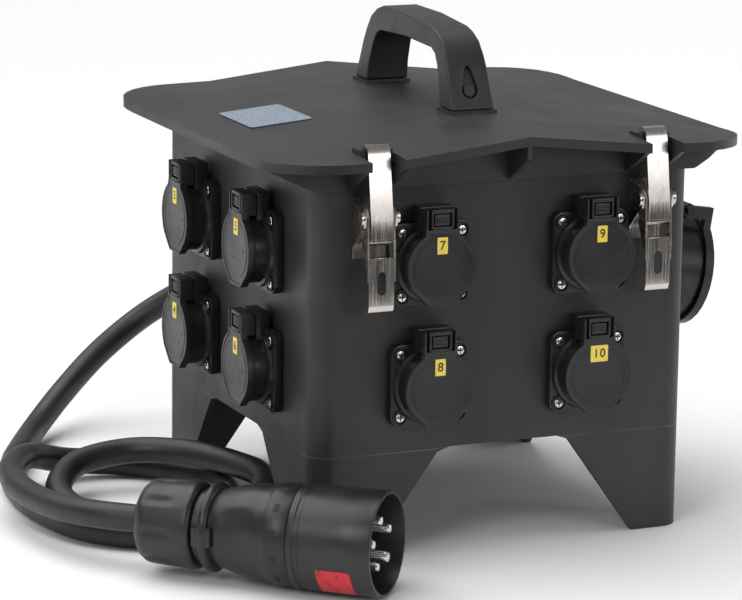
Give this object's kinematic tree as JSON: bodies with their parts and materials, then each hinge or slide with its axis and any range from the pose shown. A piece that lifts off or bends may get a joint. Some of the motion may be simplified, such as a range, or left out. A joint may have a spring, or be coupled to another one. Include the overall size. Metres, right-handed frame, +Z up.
{
  "type": "portable power distribution box",
  "caption": "Charcoal plastic box on four legs with a roof-shaped latched lid and handle, capped earthed sockets, a capped round industrial socket, and a lead with an industrial plug.",
  "frame": {"origin": "middle of the base of the object without its lead", "axes": "+Z up, -Y out of the latched front, +X out of the wall with the round socket"},
  "size_m": [0.4603, 0.4799, 0.3057],
  "materials": {
    "housing_plastic": "satin, fine grain",
    "socket_plastic": "smooth",
    "stainless": "brushed",
    "screw_steel": "polished",
    "rubber": "matt",
    "contact_nickel": "satin nickel",
    "label_film": "satin film",
    "switchgear_grey": "matt",
    "switch_black": "matt",
    "switch_blue": "matt",
    "galvanized": "galvanized"
  },
  "bodies": {
    "housing": {"housing": "housing_plastic", "cee_socket": "socket_plastic", "cee_contacts": "socket_plastic", "cord_gland": "housing_plastic", "mains_cord": "rubber", "plug_nut": "socket_plastic", "plug_body": "socket_plastic", "plug_shroud": "socket_plastic", "plug_pins": "contact_nickel", "din_rail": "galvanized", "rcd_body": "switchgear_grey", "terminal_block": "switchgear_grey", "inner_cover": "switchgear_grey", "hinge_bracket_left": "stainless", "hinge_bracket_right": "stainless", "latch_base_left": "stainless", "latch_base_right": "stainless", "socket_1": "socket_plastic", "socket_2": "socket_plastic", "socket_3": "socket_plastic", "socket_4": "socket_plastic", "socket_5": "socket_plastic", "socket_6": "socket_plastic", "socket_7": "socket_plastic", "socket_8": "socket_plastic", "socket_9": "socket_plastic", "socket_10": "socket_plastic", "mcb_1_body": "switchgear_grey", "mcb_2_body": "switchgear_grey", "mcb_3_body": "switchgear_grey", "lid_gasket": "rubber"},
    "lid": {"lid": "housing_plastic", "handle": "housing_plastic", "handle_screw_front": "screw_steel", "handle_screw_back": "screw_steel", "rating_label": "label_film", "hinge_pin_left": "screw_steel", "hinge_pin_right": "screw_steel"},
    "cee_cap": {"cee_cap": "socket_plastic"},
    "rcd_toggle": {"rcd_toggle": "switch_blue"},
    "rcd_test_button": {"rcd_test_button": "switch_blue"},
    "latch_lever_left": {"latch_lever_left": "stainless"},
    "latch_strap_left": {"latch_strap_left": "stainless"},
    "latch_lever_right": {"latch_lever_right": "stainless"},
    "latch_strap_right": {"latch_strap_right": "stainless"},
    "socket_cap_1": {"socket_cap_1": "socket_plastic"},
    "socket_cap_2": {"socket_cap_2": "socket_plastic"},
    "socket_cap_3": {"socket_cap_3": "socket_plastic"},
    "socket_cap_4": {"socket_cap_4": "socket_plastic"},
    "socket_cap_5": {"socket_cap_5": "socket_plastic"},
    "socket_cap_6": {"socket_cap_6": "socket_plastic"},
    "socket_cap_7": {"socket_cap_7": "socket_plastic"},
    "socket_cap_8": {"socket_cap_8": "socket_plastic"},
    "socket_cap_9": {"socket_cap_9": "socket_plastic"},
    "socket_cap_10": {"socket_cap_10": "socket_plastic"},
    "mcb_1_toggle": {"mcb_1_toggle": "switch_black"},
    "mcb_2_toggle": {"mcb_2_toggle": "switch_black"},
    "mcb_3_toggle": {"mcb_3_toggle": "switch_black"}
  },
  "joints": [
    {"name": "lid_hinge", "type": "hinge", "parent": "housing", "child": "lid", "pos_m": [-0.01937, 0.141, 0.229], "axis": [-1, 0, 0], "range_deg": [0, 75]},
    {"name": "latch_lever_left_pivot", "type": "hinge", "parent": "housing", "child": "latch_lever_left", "pos_m": [-0.10937, -0.139, 0.209], "axis": [-1, 0, 0], "range_deg": [0, 90]},
    {"name": "latch_strap_left_pivot", "type": "hinge", "parent": "latch_lever_left", "child": "latch_strap_left", "pos_m": [-0.10937, -0.1395, 0.196], "axis": [-1, 0, 0], "range_deg": [-99, 0]},
    {"name": "latch_lever_right_pivot", "type": "hinge", "parent": "housing", "child": "latch_lever_right", "pos_m": [0.07063, -0.139, 0.209], "axis": [-1, 0, 0], "range_deg": [0, 90]},
    {"name": "latch_strap_right_pivot", "type": "hinge", "parent": "latch_lever_right", "child": "latch_strap_right", "pos_m": [0.07063, -0.1395, 0.196], "axis": [-1, 0, 0], "range_deg": [-99, 0]},
    {"name": "socket_cap_1_hinge", "type": "hinge", "parent": "housing", "child": "socket_cap_1", "pos_m": [0.03263, 0.1415, 0.2087], "axis": [1, 0, 0], "range_deg": [0, 90], "stiffness_Nm_per_rad": 0.02, "springref_deg": -45.84},
    {"name": "socket_cap_2_hinge", "type": "hinge", "parent": "housing", "child": "socket_cap_2", "pos_m": [0.03263, 0.1415, 0.136], "axis": [1, 0, 0], "range_deg": [0, 90], "stiffness_Nm_per_rad": 0.02, "springref_deg": -45.84},
    {"name": "socket_cap_3_hinge", "type": "hinge", "parent": "housing", "child": "socket_cap_3", "pos_m": [-0.15887, 0.052, 0.2087], "axis": [0, 1, 0], "range_deg": [0, 90], "stiffness_Nm_per_rad": 0.02, "springref_deg": -45.84},
    {"name": "socket_cap_4_hinge", "type": "hinge", "parent": "housing", "child": "socket_cap_4", "pos_m": [-0.15887, 0.052, 0.136], "axis": [0, 1, 0], "range_deg": [0, 90], "stiffness_Nm_per_rad": 0.02, "springref_deg": -45.84},
    {"name": "socket_cap_5_hinge", "type": "hinge", "parent": "housing", "child": "socket_cap_5", "pos_m": [-0.15887, -0.052, 0.2087], "axis": [0, 1, 0], "range_deg": [0, 90], "stiffness_Nm_per_rad": 0.02, "springref_deg": -45.84},
    {"name": "socket_cap_6_hinge", "type": "hinge", "parent": "housing", "child": "socket_cap_6", "pos_m": [-0.15887, -0.052, 0.136], "axis": [0, 1, 0], "range_deg": [0, 90], "stiffness_Nm_per_rad": 0.02, "springref_deg": -45.84},
    {"name": "socket_cap_7_hinge", "type": "hinge", "parent": "housing", "child": "socket_cap_7", "pos_m": [-0.07137, -0.1415, 0.2087], "axis": [-1, 0, 0], "range_deg": [0, 90], "stiffness_Nm_per_rad": 0.02, "springref_deg": -45.84},
    {"name": "socket_cap_8_hinge", "type": "hinge", "parent": "housing", "child": "socket_cap_8", "pos_m": [-0.07137, -0.1415, 0.136], "axis": [-1, 0, 0], "range_deg": [0, 90], "stiffness_Nm_per_rad": 0.02, "springref_deg": -45.84},
    {"name": "socket_cap_9_hinge", "type": "hinge", "parent": "housing", "child": "socket_cap_9", "pos_m": [0.03263, -0.1415, 0.2087], "axis": [-1, 0, 0], "range_deg": [0, 90], "stiffness_Nm_per_rad": 0.02, "springref_deg": -45.84},
    {"name": "socket_cap_10_hinge", "type": "hinge", "parent": "housing", "child": "socket_cap_10", "pos_m": [0.03263, -0.1415, 0.136], "axis": [-1, 0, 0], "range_deg": [0, 90], "stiffness_Nm_per_rad": 0.02, "springref_deg": -45.84},
    {"name": "cee_cap_hinge", "type": "hinge", "parent": "housing", "child": "cee_cap", "pos_m": [0.15604, 0, 0.17505], "axis": [0, -1, 0], "range_deg": [0, 95], "stiffness_Nm_per_rad": 0.08, "springref_deg": -45.84},
    {"name": "rcd_toggle_pivot", "type": "hinge", "parent": "housing", "child": "rcd_toggle", "pos_m": [-0.07352, 0, 0.203], "axis": [1, 0, 0], "range_deg": [0, 44]},
    {"name": "rcd_test_button_press", "type": "slide", "parent": "housing", "child": "rcd_test_button", "axis": [0, 0, -1], "range_m": [0, 0.0018], "stiffness_N_per_m": 300, "springref_m": -0.001},
    {"name": "mcb_1_toggle_pivot", "type": "hinge", "parent": "housing", "child": "mcb_1_toggle", "pos_m": [-0.01952, 0, 0.203], "axis": [1, 0, 0], "range_deg": [0, 44]},
    {"name": "mcb_2_toggle_pivot", "type": "hinge", "parent": "housing", "child": "mcb_2_toggle", "pos_m": [0.01648, 0, 0.203], "axis": [1, 0, 0], "range_deg": [0, 44]},
    {"name": "mcb_3_toggle_pivot", "type": "hinge", "parent": "housing", "child": "mcb_3_toggle", "pos_m": [0.05248, 0, 0.203], "axis": [1, 0, 0], "range_deg": [0, 44]}
  ],
  "couplings": [
    {"joint": "latch_strap_left_pivot", "follows": "latch_lever_left_pivot", "ratio": -1.1},
    {"joint": "latch_strap_right_pivot", "follows": "latch_lever_right_pivot", "ratio": -1.1}
  ]
}
